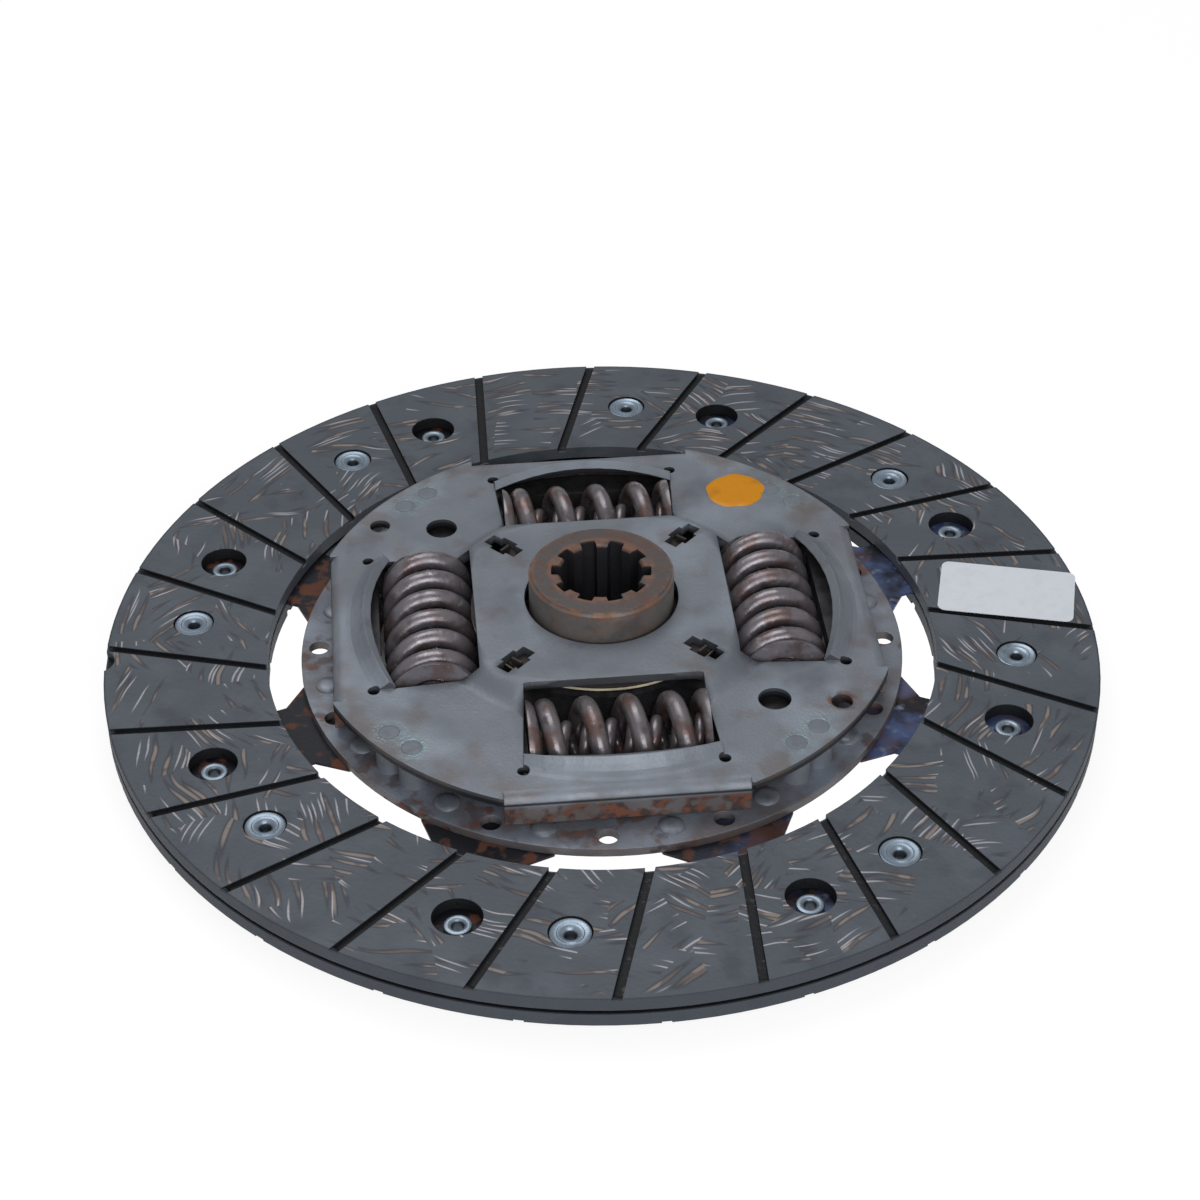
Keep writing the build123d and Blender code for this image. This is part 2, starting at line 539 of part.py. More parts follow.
def outer_spring(length, open_turns, start):
    """Coil of flat-sided wire whose centre line runs from end face to end face, which grind it flat."""
    mean = (SPRING_DIA - SPRING_WIRE) / 2
    closed_start, closed_end = 1.0, 0.5
    open_pitch = (length - (closed_start + closed_end) * CLOSED_PITCH) / open_turns
    turns = closed_start + open_turns + closed_end
    points = []
    for n in range(round(turns * COIL_STEPS) + 1):
        turn = n / COIL_STEPS
        opened = min(max(turn - closed_start, 0), open_turns)
        travel = opened * open_pitch + (turn - opened) * CLOSED_PITCH
        around = 2 * radians(180) * turn
        points.append((-start * mean * sin(around), start * (length / 2 - travel), mean * cos(around)))
    path = Polyline(*points)
    wire = Plane(origin=path @ 0, x_dir=(0, 0, 1), z_dir=path % 0) * RegularPolygon(SPRING_WIRE / 2, WIRE_SIDES)
    return sweep(wire, path=path, transition=Transition.RIGHT) & Box(2 * SPRING_DIA, length, 2 * SPRING_DIA)


def inner_spring(length):
    """Flat-sided tube that stands for the close-wound inner spring."""
    outer = RegularPolygon(INNER_SPRING_DIA / 2, INNER_SPRING_SIDES)
    inner = RegularPolygon(INNER_SPRING_DIA / 2 - INNER_SPRING_WIRE, INNER_SPRING_SIDES)
    return Rot(90, 0, 0) * extrude(outer - inner, length / 2, both=True)


# ---- build and export
def build():
    """Every sub-part by its node's name."""
    parts = {
        "friction_lining_top": as_upper(lining() - rim_notch()),
        "friction_lining_bottom": as_lower(lining()),
        "lining_rivets_top": as_upper(lining_rivets()),
        "lining_rivets_bottom": as_lower(lining_rivets()),
        "segment_rivets": segment_rivets(),
        "retainer_plate": retainer_plate(),
        "cover_plate": cover_plate(),
        "spacer_pins": spacer_pins(),
        "hub": hub(),
        "hub_flange": hub_flange(),
        "centring_bush": centring_bush(),
        "friction_washer": friction_washer(),
        "friction_ring": friction_ring(),
        "tabbed_washer": tabbed_washer(),
        "lower_coned_spring": lower_coned_spring(),
        "upper_coned_spring": upper_coned_spring(),
    }
    for k, angle in enumerate(NECK_ANGLES):
        parts[f"cushion_segment_{k + 1}"] = cushion_segment(angle)
    for k, (length, turns, start) in enumerate(zip(SPRING_LENGTHS, SPRING_OPEN_TURNS, SPRING_STARTS)):
        angle = PLATE_TURN + 90 * k
        parts[f"damper_spring_outer_{k + 1}"] = spring_place(outer_spring(length, turns, start), angle)
        parts[f"damper_spring_inner_{k + 1}"] = spring_place(inner_spring(length - INNER_SPRING_SHORTER), angle)
    return parts


if __name__ == "__main__":
    os.makedirs("parts", exist_ok=True)
    for name, shape in build().items():
        export_step(shape, f"parts/{name}.step")
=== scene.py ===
"""Sprung clutch disc on a pale floor: coil springs, rivets, a blank label, and finishes for every solid."""

import logging
import math
from dataclasses import dataclass
from enum import Enum
from functools import partial, reduce

import bpy
from mathutils import Matrix, Vector

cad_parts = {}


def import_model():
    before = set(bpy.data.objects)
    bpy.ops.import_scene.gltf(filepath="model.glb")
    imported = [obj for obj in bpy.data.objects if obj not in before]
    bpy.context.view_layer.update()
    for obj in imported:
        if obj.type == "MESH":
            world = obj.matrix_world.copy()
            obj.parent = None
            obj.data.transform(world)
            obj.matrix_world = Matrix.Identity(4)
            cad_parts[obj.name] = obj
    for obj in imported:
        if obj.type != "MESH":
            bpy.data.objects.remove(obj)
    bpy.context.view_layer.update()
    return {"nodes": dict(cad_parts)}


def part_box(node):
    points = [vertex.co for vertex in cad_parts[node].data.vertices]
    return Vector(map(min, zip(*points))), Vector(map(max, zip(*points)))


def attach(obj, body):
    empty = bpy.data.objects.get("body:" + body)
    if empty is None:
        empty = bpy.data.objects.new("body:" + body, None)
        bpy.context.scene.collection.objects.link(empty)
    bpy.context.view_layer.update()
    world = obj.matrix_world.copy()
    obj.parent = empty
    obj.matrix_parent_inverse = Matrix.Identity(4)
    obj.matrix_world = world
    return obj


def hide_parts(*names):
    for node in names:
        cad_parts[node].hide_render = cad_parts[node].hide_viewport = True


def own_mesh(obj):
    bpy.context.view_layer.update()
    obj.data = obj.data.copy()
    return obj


# Every size and place below is in millimetres, and MM turns it to Blender's metres.
MM = 0.001
LOG = logging.getLogger("clutch_disc")
Material = bpy.types.Material
Piece = bpy.types.Object
Socket = bpy.types.NodeSocket

MIDDLE = 8.3        # height of the plane midway between the linings
COVER_TOP = 20.8    # height of the cover plate's upper face
RIM_TOP = 10.6      # height of the retainer rim's upper face
EIGHTH = 45         # degrees from one segment, or lining rivet, to the next
QUARTER = 90        # degrees from one spring, or pair of pins, to the next
WELD = 0.001        # points closer than this become one
SOFT_CORNER = 35    # a turned piece's faces that meet at less than this many degrees shade as one


# ---- helpers
def hex_colour(code: str) -> tuple[float, float, float, float]:
    """Turn an sRGB hex colour into linear RGBA.

    Args:
        code: The colour as "#rrggbb".

    Returns:
        Linear red, green, blue and an alpha of 1.
    """
    channels = [int(code[k:k + 2], 16) / 255 for k in (1, 3, 5)]
    linear = [c / 12.92 if c <= 0.04045 else ((c + 0.055) / 1.055) ** 2.4 for c in channels]
    return (linear[0], linear[1], linear[2], 1.0)


def add_node(tree: bpy.types.NodeTree, kind: str, links: dict | None = None,
             values: dict | None = None, **settings: object) -> bpy.types.Node:
    """Add a shader node.

    Args:
        tree: The node tree.
        kind: The node's type name, without the prefix that all share.
        links: Output sockets by the input's name or number.
        values: Constants by the input's name or number.
        settings: The node's own properties.

    Returns:
        The new node.
    """
    node = tree.nodes.new("ShaderNode" + kind)
    for name, value in settings.items():
        setattr(node, name, value)
    for name, value in (values or {}).items():
        node.inputs[name].default_value = value
    for name, socket in (links or {}).items():
        tree.links.new(socket, node.inputs[name])
    return node


def deselect_all() -> None:
    """Leave object mode with nothing selected."""
    if bpy.context.object and bpy.context.object.mode != "OBJECT":
        bpy.ops.object.mode_set(mode="OBJECT")
    bpy.ops.object.select_all(action="DESELECT")


def close_mesh() -> None:
    """Turn the mesh's faces outwards and leave edit mode."""
    bpy.ops.mesh.select_all(action="SELECT")
    bpy.ops.mesh.normals_make_consistent(inside=False)
    bpy.ops.object.mode_set(mode="OBJECT")


def polar(radius: float, degrees: float, height: float) -> Matrix:
    """Place at a radius, angle and height, turned to face outwards."""
    return (Matrix.Rotation(math.radians(degrees), 4, "Z")
            @ Matrix.Translation(Vector((radius, 0, height)) * MM))


def turned_piece(name: str, profile: list[tuple[float, float]], sides: int) -> Piece:
    """Turn a closed or capped (radius, height) outline about Z by extruding a ring step by step.

    Args:
        name: The object's name.
        profile: Radius and height of each step; a first step equal to the last closes a bore.
        sides: Sides of the ring.

    Returns:
        The new object at the origin.
    """
    deselect_all()
    closed = profile[0] == profile[-1]
    radius, height = profile[0]
    bpy.ops.mesh.primitive_circle_add(vertices=sides, radius=radius * MM, location=(0, 0, height * MM),
                                      fill_type="NOTHING" if closed else "NGON")
    piece = bpy.context.object
    piece.name = name
    bpy.ops.object.transform_apply(location=True)
    bpy.ops.object.mode_set(mode="EDIT")
    bpy.ops.mesh.select_all(action="SELECT")
    extrude = bpy.ops.mesh.extrude_edges_move if closed else bpy.ops.mesh.extrude_region_move
    for next_radius, next_height in profile[1:]:
        extrude(TRANSFORM_OT_translate={"value": (0, 0, (next_height - height) * MM)})
        ratio = next_radius / radius
        bpy.ops.transform.resize(value=(ratio, ratio, 1), center_override=(0, 0, 0))
        radius, height = next_radius, next_height
    bpy.ops.mesh.select_all(action="SELECT")
    bpy.ops.mesh.remove_doubles(threshold=WELD * MM)
    close_mesh()
    bpy.ops.object.shade_smooth_by_angle(angle=math.radians(SOFT_CORNER))
    return piece


def copies(piece: Piece, places: list[Matrix]) -> Piece:
    """Copy a piece to several places and join the copies.

    Args:
        piece: The pattern, which is used up.
        places: One matrix for each copy.

    Returns:
        The joined object, at the origin.
    """
    made = []
    for place in places:
        copy = bpy.data.objects.new(piece.name, piece.data.copy())
        copy.data.transform(place)
        bpy.context.scene.collection.objects.link(copy)
        made.append(copy)
    name = piece.name
    bpy.data.objects.remove(piece)
    deselect_all()
    for copy in made:
        copy.select_set(True)
    bpy.context.view_layer.objects.active = made[0]
    bpy.ops.object.join()
    made[0].name = name
    return made[0]


def dress(piece: Piece, material: Material) -> None:
    """Give an object one material."""
    piece.data.materials.clear()
    piece.data.materials.append(material)


def seat(piece: Piece, body: str, slot: str, material: Material, *replaced: str) -> None:
    """Dress a new piece, let it ride on a body and stand for CAD nodes.

    Args:
        piece: The new object.
        body: The body it moves with.
        slot: The record's material slot; not used.
        material: Its finish.
        replaced: CAD nodes that it stands for.
    """
    dress(piece, material)
    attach(piece, body)
    if replaced:
        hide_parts(*replaced)
    LOG.info("piece %s rides on %s", piece.name, body)


# ---- finishes
Fade = tuple[float, float]                  # values at which a mask begins and is full
Spot = tuple[float, float, float, float]    # X, Y and Z of its middle, and its radius


class Surface:
    """One material under construction: a colour that layers are laid over, and its shader.

    FIBRE and MARGIN are distances from a cell's middle, as shares of the cell. UPRIGHT is the upward part
    of a face's normal, and SPOT_EDGE the share of a spot's radius over which its edge fades, both ways.
    """

    FIBRE: Fade = (0.26, 0.1)
    MARGIN: Fade = (0.42, 0.24)
    UPRIGHT: Fade = (0.35, 0.15)
    SPOT_EDGE: float = 0.1
    BEVEL_SAMPLES: int = 10

    def __init__(self, name: str, colour: str) -> None:
        """Start a material from a plain colour.

        Args:
            name: The material's name.
            colour: Its sRGB hex colour.
        """
        self.material = bpy.data.materials.new(name)
        self.material.use_nodes = True
        self.tree = self.material.node_tree
        self.tree.nodes.clear()
        self.node = partial(add_node, self.tree)
        self.where = self.node("TexCoord").outputs["Object"]
        self.wound = self.where
        self.colour = self.node("RGB").outputs[0]
        self.colour.default_value = hex_colour(colour)

    def fade(self, value: Socket, start: float, end: float) -> Socket:
        """Mask that grows softly from 0 to 1 while a value runs from start to end."""
        return self.node("MapRange", {"Value": value}, {"From Min": start, "From Max": end},
                         interpolation_type="SMOOTHSTEP").outputs[0]

    def patches(self, size: float, start: float, end: float, detail: float = 3.0,
                seed: float = 0.0) -> Socket:
        """Cloudy patches.

        Args:
            size: Size of a patch.
            start: Noise level at which a patch begins.
            end: Noise level at which it is full.
            detail: Octaves.
            seed: Slice through the noise.

        Returns:
            A mask from 0 to 1.
        """
        noise = self.node("TexNoise", {"Vector": self.where},
                          {"Scale": 1 / (size * MM), "Detail": detail, "W": seed}, noise_dimensions="4D")
        return self.fade(noise.outputs["Fac"], start, end)

    def around(self) -> Socket:
        """Angle about the axis, in radians."""
        split = self.node("SeparateXYZ", {0: self.where}).outputs
        return self.node("Math", {0: split["Y"], 1: split["X"]}, operation="ARCTAN2").outputs[0]

    def out(self) -> Socket:
        """Distance from the axis, in metres."""
        flat = self.node("VectorMath", {0: self.where}, {1: (1, 1, 0)}, operation="MULTIPLY").outputs[0]
        return self.node("VectorMath", {0: flat}, operation="LENGTH").outputs["Value"]

    def round_spots(self, circle: float, first: float, step: float, size: float) -> Socket:
        """Mask of round spots that repeat round the axis.

        Args:
            circle: Radius of the circle they lie on.
            first: Angle of one of them in degrees.
            step: Degrees from one to the next.
            size: Radius of a spot.

        Returns:
            A mask from 0 to 1.
        """
        turned = self.node("Math", {0: self.around()}, {1: math.radians(first)},
                           operation="SUBTRACT").outputs[0]
        half = math.radians(step / 2)
        wrapped = self.node("Math", {0: turned}, {1: half, 2: -half}, operation="WRAP").outputs[0]
        along = self.node("Math", {0: wrapped}, {1: circle * MM}, operation="MULTIPLY").outputs[0]
        across = self.node("Math", {0: self.out()}, {1: circle * MM}, operation="SUBTRACT").outputs[0]
        offset = self.node("CombineXYZ", {"X": along, "Y": across}).outputs[0]
        gap = self.node("VectorMath", {0: offset}, operation="LENGTH").outputs["Value"]
        return self.node("MapRange", {"Value": gap},
                         {"From Min": size * (1 + self.SPOT_EDGE) * MM,
                          "From Max": size * (1 - self.SPOT_EDGE) * MM}).outputs[0]

    def unroll(self, radius: float, wander: float, reach: float) -> None:
        """Prepare wandering coordinates unrolled round the axis, X along the circle and Y outwards.

        Args:
            radius: Radius of the circle whose length X follows.
            wander: Distance over which the coordinates wander.
            reach: How far they wander.
        """
        noise = self.node("TexNoise", {"Vector": self.where},
                          {"Scale": 1 / (wander * MM), "Detail": 1.0, "W": 3.7}, noise_dimensions="4D")
        drift = self.node("VectorMath", {0: noise.outputs["Color"]},
                          {1: (0.5, 0.5, 0.5)}, operation="SUBTRACT").outputs[0]
        along = self.node("Math", {0: self.around()}, {1: radius * MM}, operation="MULTIPLY").outputs[0]
        unrolled = self.node("CombineXYZ", {"X": along, "Y": self.out()}).outputs[0]
        self.wound = self.node("VectorMath", {0: drift, 2: unrolled},
                               {1: (reach * MM, reach * MM, 0)}, operation="MULTIPLY_ADD").outputs[0]

    def cells(self, size: float) -> Socket:
        """Random value for each cell of a size, in the unrolled coordinates."""
        cells = self.node("TexVoronoi", {"Vector": self.wound},
                          {"Scale": 1 / (size * MM)}, voronoi_dimensions="2D")
        return self.node("SeparateColor", {0: cells.outputs["Color"]}).outputs[0]

    def bundle(self, cells: Socket, start: float, end: float) -> Socket:
        """Mask of the cells whose random value lies between two numbers."""
        above = self.node("Math", {0: cells}, {1: start}, operation="GREATER_THAN").outputs[0]
        return self.both(above, self.node("Math", {0: cells}, {1: end}, operation="LESS_THAN").outputs[0])

    def fibres(self, length: float, width: float, turn: float, share: float, seed: float,
               ) -> tuple[Socket, Socket]:
        """Short bent fibres that lie one way in the unrolled coordinates.

        Args:
            length: Length of the longest fibre.
            width: Width of the widest.
            turn: Their direction in degrees from the tangent.
            share: Share of the places that hold a fibre.
            seed: Moves the pattern.

        Returns:
            Two masks from 0 to 1: the fibres, and the fibres with a margin round them.
        """
        # A fibre fills about half of its cell.
        place = self.node("Mapping", {"Vector": self.wound},
                          {"Rotation": (0, 0, math.radians(turn)), "Location": (seed * MM, 7 * seed * MM, 0),
                           "Scale": (2 * length * MM, 2 * width * MM, 1)}, vector_type="TEXTURE")
        cells = self.node("TexVoronoi", {"Vector": place.outputs[0]}, {"Scale": 1.0}, voronoi_dimensions="2D")
        pick = self.node("SeparateColor", {0: cells.outputs["Color"]})
        kept = self.node("Math", {0: pick.outputs[0]}, {1: share}, operation="LESS_THAN")
        fibre, margin = (self.both(self.fade(cells.outputs["Distance"], *edge), kept.outputs[0])
                         for edge in (self.FIBRE, self.MARGIN))
        return fibre, margin

    def zone(self, axis: str, start: float, end: float) -> Socket:
        """Mask that grows along a direction.

        Args:
            axis: X, Y, Z, or R for the radius.
            start: Place at which it begins.
            end: Place at which it is full; it may lie on either side of the start.

        Returns:
            A mask from 0 to 1.
        """
        if axis == "R":
            value = self.out()
        else:
            value = self.node("SeparateXYZ", {0: self.where}).outputs[axis]
        return self.fade(value, start * MM, end * MM)

    def near(self, x: float, y: float, z: float, radius: float) -> Socket:
        """Mask of a ball round a point, full within half of its radius."""
        gap = self.node("VectorMath", {0: self.where}, {1: (x * MM, y * MM, z * MM)},
                        operation="DISTANCE").outputs["Value"]
        return self.fade(gap, radius * MM, radius * 0.5 * MM)

    def walls(self) -> Socket:
        """Mask of faces that stand upright or look down."""
        normal = self.node("TexCoord").outputs["Normal"]
        return self.fade(self.node("SeparateXYZ", {0: normal}).outputs["Z"], *self.UPRIGHT)

    def both(self, *masks: Socket) -> Socket:
        """Product of several masks."""
        return reduce(lambda a, b: self.node("Math", {0: a, 1: b}, operation="MULTIPLY").outputs[0], masks)

    def either(self, *masks: Socket) -> Socket:
        """Largest of several masks."""
        return reduce(lambda a, b: self.node("Math", {0: a, 1: b}, operation="MAXIMUM").outputs[0], masks)

    def lay(self, colour: str, strength: float, *masks: Socket) -> None:
        """Lay a colour over what is there.

        Args:
            colour: The sRGB hex colour.
            strength: How much of it covers.
            masks: It shows where all of these do.
        """
        amount = self.node("Math", {0: self.both(*masks)}, {1: strength}, operation="MULTIPLY")
        mix = self.node("Mix", {0: amount.outputs[0], 6: self.colour},
                        {7: hex_colour(colour)}, data_type="RGBA")
        self.colour = mix.outputs[2]

    def graded(self, mask: Socket, low: float, high: float) -> Socket:
        """Value that runs from low to high with a mask."""
        return self.node("MapRange", {"Value": mask}, {"To Min": low, "To Max": high}).outputs[0]

    def feed(self, entry: Socket, value: float | Socket) -> None:
        """Give an input a number, or join a socket to it."""
        if isinstance(value, float):
            entry.default_value = value
        else:
            self.tree.links.new(value, entry)

    def done(self, metallic: float, roughness: float | Socket,
             bump: Socket | None = None, depth: float = 0.05,
             soften: float | Socket = 0.0, **extra: float) -> Material:
        """Join everything to the shader.

        Args:
            metallic: 0 or 1, or between for a dirty metal.
            roughness: A number or a socket.
            bump: Height mask.
            depth: Height of the bump.
            soften: Radius of the rounding that edges show, in metres, as a number or a socket.
            extra: Other shader inputs, by name with underscores.

        Returns:
            The finished material.
        """
        shader = self.node("BsdfPrincipled", {"Base Color": self.colour}, {"Metallic": metallic})
        self.feed(shader.inputs["Roughness"], roughness)
        for name, value in extra.items():
            shader.inputs[name.replace("_", " ")].default_value = value
        if bump is not None:
            height = self.node("Bump", {"Height": bump}, {"Strength": 1.0, "Distance": depth * MM})
            if soften != 0.0:
                edge = self.node("Bevel", samples=self.BEVEL_SAMPLES)
                self.feed(edge.inputs["Radius"], soften)
                self.tree.links.new(edge.outputs[0], height.inputs["Normal"])
            self.tree.links.new(height.outputs[0], shader.inputs["Normal"])
        self.node("OutputMaterial", {"Surface": shader.outputs[0]})
        return self.material


@dataclass(frozen=True)
class FrictionResin:
    """Moulded friction resin with wound yarn, ground flat.

    The eye sees a dark slate ground, brown bent ends of yarn that lie in bundles, and glints of glass, a
    painted highlight.
    """

    ground: str = "#50565e"
    light: str = "#5d636c"
    dark: str = "#41464d"
    edge: str = "#33343a"
    brown: str = "#6c605b"
    tan: str = "#8c827c"
    painted_glint: str = "#bcb9be"
    recess_shade: str = "#0d0e11"
    wall_shade: str = "#30353d"
    turns: tuple[float, ...] = (-36, -18, -5, 9, 24, 42)
    bundle_size: float = 13.5
    bundle_fill: float = 0.92
    wander: float = 17.0
    reach: float = 7.0
    yarn_length: float = 13.0
    yarn_width: float = 1.15
    yarn_share: float = 0.6
    glass_length: float = 10.0
    glass_width: float = 0.6
    glass_share: float = 0.34
    glass_turn: float = 4.0
    soft_edge: float = 0.25

    def material(self, middle: float, half: float, inner: float, outer: float) -> Material:
        """Build the material.

        Args:
            middle: Height of the disc's middle plane.
            half: From there to a working face.
            inner: The lining's inner radius.
            outer: Its outer radius.

        Returns:
            The material.
        """
        skin = Surface("moulded_friction_resin", self.ground)
        skin.lay(self.light, 0.6, skin.patches(14, 0.45, 0.7, seed=1.0))
        skin.lay(self.dark, 0.6, skin.patches(9, 0.52, 0.72, seed=2.0))
        top, bottom = middle + half, middle - half
        up = skin.zone("Z", top - 0.25, top - 0.1)
        down = skin.zone("Z", bottom + 0.25, bottom + 0.1)
        face = skin.both(skin.either(up, down), skin.zone("R", outer - 1.0, outer - 3.0))
        skin.unroll((inner + outer) / 2, self.wander, self.reach)
        cells = skin.cells(self.bundle_size)
        kinds = len(self.turns)
        yarns, glints = [], []
        for k, turn in enumerate(self.turns):
            bundle = skin.both(skin.bundle(cells, k / kinds, (k + self.bundle_fill) / kinds), face)
            yarn, margin = skin.fibres(self.yarn_length, self.yarn_width, turn, self.yarn_share,
                                       seed=3.1 + 11 * k)
            yarn, margin = skin.both(yarn, bundle), skin.both(margin, bundle)
            glint = skin.fibres(self.glass_length, self.glass_width, turn + self.glass_turn,
                                self.glass_share, seed=40.3 + 13 * k)[0]
            glint = skin.both(glint, bundle)
            tone = skin.patches(5, 0.45, 0.55, detail=1.0, seed=70.0 + k)
            skin.lay(self.edge, 0.6, margin)
            skin.lay(self.brown, 0.8, yarn)
            skin.lay(self.tan, 0.75, yarn, tone)
            # painted highlight: pale colour laid on the glass fibres for their glints, which also get lower
            # roughness
            skin.lay(self.painted_glint, 0.65, glint)
            yarns.append(yarn)
            glints.append(glint)
        # painted shade: the outer side wall is laid darker than the working faces
        skin.lay(self.wall_shade, 0.8, skin.zone("R", outer - 0.6, outer - 0.1))
        # Grooves and rivet pockets lie below a working face and away from both edges, and get painted shade,
        # nearly black.
        recess = skin.both(skin.zone("R", inner + 0.2, inner + 0.5), skin.zone("R", outer - 0.2, outer - 0.5),
                           skin.zone("Z", top - 0.05, top - 0.3), skin.zone("Z", bottom + 0.05, bottom + 0.3))
        skin.lay(self.recess_shade, 0.95, recess)
        speck = skin.both(recess, skin.patches(1.4, 0.6, 0.68, seed=5.0))
        shine = skin.either(*glints, speck)
        rough = skin.graded(shine, 0.6, 0.28)
        relief = skin.either(*yarns, skin.patches(1.2, 0.3, 0.8, seed=8.0))
        return skin.done(0.0, rough, relief, 0.07, soften=self.soft_edge * MM, Specular_IOR_Level=0.3)


@dataclass(frozen=True)
class BlastedSteel:
    """Shot-blasted steel sheet, worn.

    The eye sees grey with pale hazy rubs, oily dark stains, and rust where the sheet was cut. The pits
    of the blasting are finer than a view of the whole disc shows, and are drawn 0.8 mm wide and more.
    """

    name: str
    ground: str = "#757b84"
    pale: str = "#8f97a3"
    stain: str = "#52565e"
    brown: str = "#645750"
    rust: str = "#7c4c3a"
    dark_rust: str = "#3a2a28"
    wall_shade: str = "#3a3b40"
    under: str = "#141519"
    glaze: str = "#7f9aa0"
    rubbed_rim: Fade = (60.0, 69.0)
    dish_inner: Fade = (33.0, 35.5)
    dish_outer: Fade = (44.0, 42.0)
    soft_edge: float = 0.4
    soft_dish: float = 4.0

    def material(self, rust_below: float, rust_level: float, spots: tuple[Spot, ...] = (),
                 wall_above: float = 100.0, glazed: tuple[Spot, ...] = ()) -> Material:
        """Build the material.

        Args:
            rust_below: Height under which rust spreads.
            rust_level: Noise level at which it starts there; lower is rustier.
            spots: Rusty places.
            wall_above: Height above which upright faces get painted shade.
            glazed: Places with a glassy bluish film.

        Returns:
            The material.
        """
        skin = Surface(self.name, self.ground)
        skin.lay(self.pale, 0.6, skin.patches(22, 0.45, 0.68, seed=1.5))
        skin.lay(self.stain, 0.6, skin.patches(16, 0.5, 0.75, seed=4.5))
        skin.lay(self.brown, 0.45, skin.patches(11, 0.54, 0.72, detail=5.0, seed=5.5))
        skin.lay(self.pale, 0.25, skin.patches(1.6, 0.62, 0.75, seed=7.0))
        skin.lay(self.stain, 0.3, skin.patches(0.9, 0.6, 0.75, seed=9.0))
        films = [skin.both(skin.near(*spot), skin.patches(2.6, 0.42, 0.56, seed=33.0 + k))
                 for k, spot in enumerate(glazed)]
        if films:
            skin.lay(self.glaze, 0.45, skin.either(*films))

        walls = skin.walls()
        # painted shade: upright faces above the given height are laid darker than the top
        skin.lay(self.wall_shade, 0.8, walls, skin.zone("Z", wall_above, wall_above + 0.6))
        rubs = skin.patches(8, 0.42, 0.62, seed=43.0)
        skin.lay(self.brown, 0.5, skin.zone("R", *self.rubbed_rim), rubs)
        # painted shade: a near-black band on upright faces just below the sheet's upper face, where it
        # undercuts
        skin.lay(self.under, 0.85, walls, skin.zone("Z", wall_above + 2.2, wall_above + 1.5),
                 skin.zone("Z", wall_above, wall_above + 0.4))
        skin.lay(self.brown, 0.6, walls, skin.zone("Z", wall_above + 0.4, wall_above - 1.0))

        blooms = skin.patches(7, rust_level, rust_level + 0.08, seed=11.0, detail=6.0)
        rusty = [skin.both(skin.zone("Z", rust_below, rust_below - 1.0), blooms)]
        rusty += [skin.both(skin.near(*spot), skin.patches(2.5, 0.42, 0.55, seed=13.0 + k))
                  for k, spot in enumerate(spots)]
        rust = skin.either(*rusty)
        skin.lay(self.dark_rust, 0.8, rust)
        skin.lay(self.rust, 0.9, rust, skin.patches(2.2, 0.45, 0.6, seed=17.0))

        rough = skin.graded(skin.either(rust, skin.patches(12, 0.4, 0.7, seed=19.0)), 0.46, 0.72)
        if films:
            shine = skin.graded(skin.either(*films), 0.0, 0.25)
            rough = skin.node("Math", {0: rough, 1: shine}, operation="SUBTRACT").outputs[0]
        relief = skin.either(skin.patches(0.8, 0.35, 0.75, seed=23.0), rust)
        dish = skin.both(skin.zone("R", *self.dish_inner), skin.zone("R", *self.dish_outer))
        return skin.done(0.35, rough, relief, 0.03,
                         soften=skin.graded(dish, self.soft_edge * MM, self.soft_dish * MM))


@dataclass(frozen=True)
class SpringWire:
    """Drawn spring steel: grey-brown, glossy along the crests, with thin rust in patches."""

    name: str
    ground: str = "#847f85"
    pale: str = "#b7b5bb"
    rust: str = "#6e5955"
    dark: str = "#49454a"

    def material(self) -> Material:
        """Build the material.

        Returns:
            The material.
        """
        skin = Surface(self.name, self.ground)
        skin.lay(self.rust, 0.75, skin.patches(6, 0.48, 0.62, detail=5.0, seed=2.2))
        skin.lay(self.dark, 0.6, skin.patches(4, 0.52, 0.7, seed=5.2))
        skin.lay(self.pale, 0.4, skin.patches(2.5, 0.58, 0.7, seed=8.1))
        rough = skin.graded(skin.patches(3, 0.35, 0.7, seed=12.0), 0.26, 0.42)
        return skin.done(0.6, rough, skin.patches(0.7, 0.3, 0.8, seed=15.0), 0.02)


@dataclass(frozen=True)
class ForgedHub:
    """Machined forging that has stood: brown-grey skin, orange rust on its edges, brighter turned faces."""

    ground: str = "#6a6562"
    rust: str = "#7d5846"
    dark: str = "#494646"
    bright: str = "#827e7c"
    nose: str = "#4d4746"
    bore: str = "#23262d"
    outer_edge: Fade = (15.6, 16.9)
    bore_edge: Fade = (13.4, 12.4)
    slots: Fade = (12.9, 12.1)

    def material(self, nose: float) -> Material:
        """Build the material.

        Args:
            nose: Height of the hub's upper end.

        Returns:
            The material.
        """
        skin = Surface("machined_forging", self.ground)
        skin.lay(self.bright, 0.5, skin.patches(9, 0.48, 0.66, seed=1.1))
        skin.lay(self.dark, 0.6, skin.patches(7, 0.52, 0.7, seed=3.3))
        top = skin.zone("Z", nose - 2.2, nose - 0.8)
        face = skin.zone("Z", nose - 0.5, nose - 0.1)
        skin.lay(self.nose, 0.85, face)
        blooms = skin.patches(4, 0.5, 0.62, detail=5.0, seed=6.0)
        rust = skin.both(blooms, skin.graded(top, 0.3, 0.8))
        skin.lay(self.rust, 0.75, rust, skin.graded(face, 1.0, 0.45))
        edges = skin.either(skin.zone("R", *self.outer_edge), skin.zone("R", *self.bore_edge))
        specks = skin.patches(3, 0.4, 0.56, detail=5.0, seed=14.0)
        skin.lay(self.rust, 0.7, top, edges, specks)
        # painted shade: the slotted bore walls below the top face are laid nearly black
        skin.lay(self.bore, 0.9, skin.zone("R", *self.slots), skin.zone("Z", nose - 0.1, nose - 0.6))
        rough = skin.graded(rust, 0.42, 0.75)
        return skin.done(0.4, rough, skin.patches(1.0, 0.3, 0.8, seed=9.0), 0.03)


